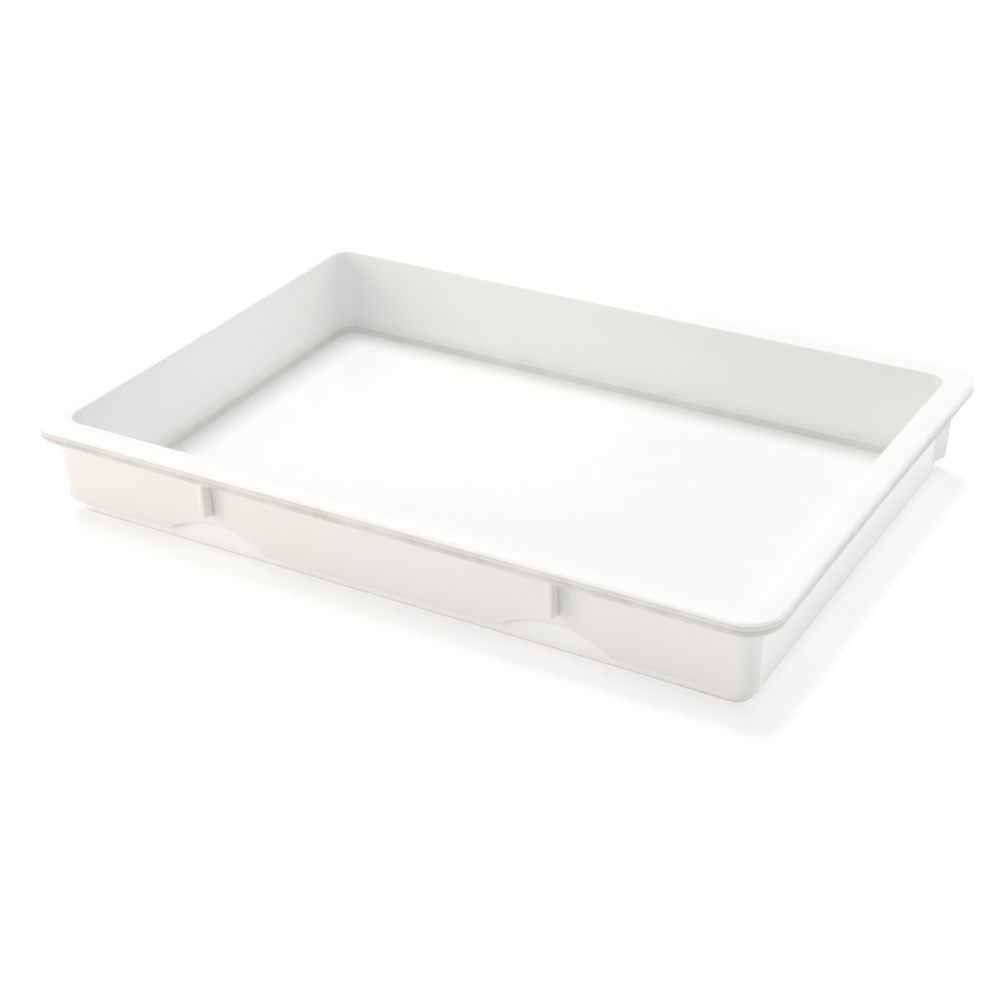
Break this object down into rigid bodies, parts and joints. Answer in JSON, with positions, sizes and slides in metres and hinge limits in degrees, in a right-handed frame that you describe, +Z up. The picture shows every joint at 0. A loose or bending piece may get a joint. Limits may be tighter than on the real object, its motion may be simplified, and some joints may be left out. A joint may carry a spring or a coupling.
{
  "type": "dough proofing container",
  "caption": "Shallow rectangular open tray for proofing dough, with a wide flat rim, plain leaning walls, an outer apron on the long sides with ribs and arches, and low corner feet; it stacks.",
  "frame": {"origin": "middle of the base, on the ground under the corner feet", "axes": "+X along the length, -Y out of the front, +Z up out of the mouth"},
  "size_m": [0.66, 0.458, 0.087],
  "materials": {
    "tray_plastic": "satin moulded white"
  },
  "bodies": {
    "root": {"apron_corner_front_left": "tray_plastic", "apron_corner_front_right": "tray_plastic", "apron_corner_rear_left": "tray_plastic", "apron_corner_rear_right": "tray_plastic", "apron_front": "tray_plastic", "apron_rear": "tray_plastic", "floor_panel": "tray_plastic", "foot_front_left": "tray_plastic", "foot_front_right": "tray_plastic", "foot_rear_left": "tray_plastic", "foot_rear_right": "tray_plastic", "rib_front_left": "tray_plastic", "rib_front_right": "tray_plastic", "rib_rear_left": "tray_plastic", "rib_rear_right": "tray_plastic", "rim_corner_front_left": "tray_plastic", "rim_corner_front_right": "tray_plastic", "rim_corner_rear_left": "tray_plastic", "rim_corner_rear_right": "tray_plastic", "rim_front": "tray_plastic", "rim_left": "tray_plastic", "rim_rear": "tray_plastic", "rim_right": "tray_plastic", "wall_corner_front_left": "tray_plastic", "wall_corner_front_right": "tray_plastic", "wall_corner_rear_left": "tray_plastic", "wall_corner_rear_right": "tray_plastic", "wall_front": "tray_plastic", "wall_left": "tray_plastic", "wall_rear": "tray_plastic", "wall_right": "tray_plastic"}
  },
  "joints": []
}
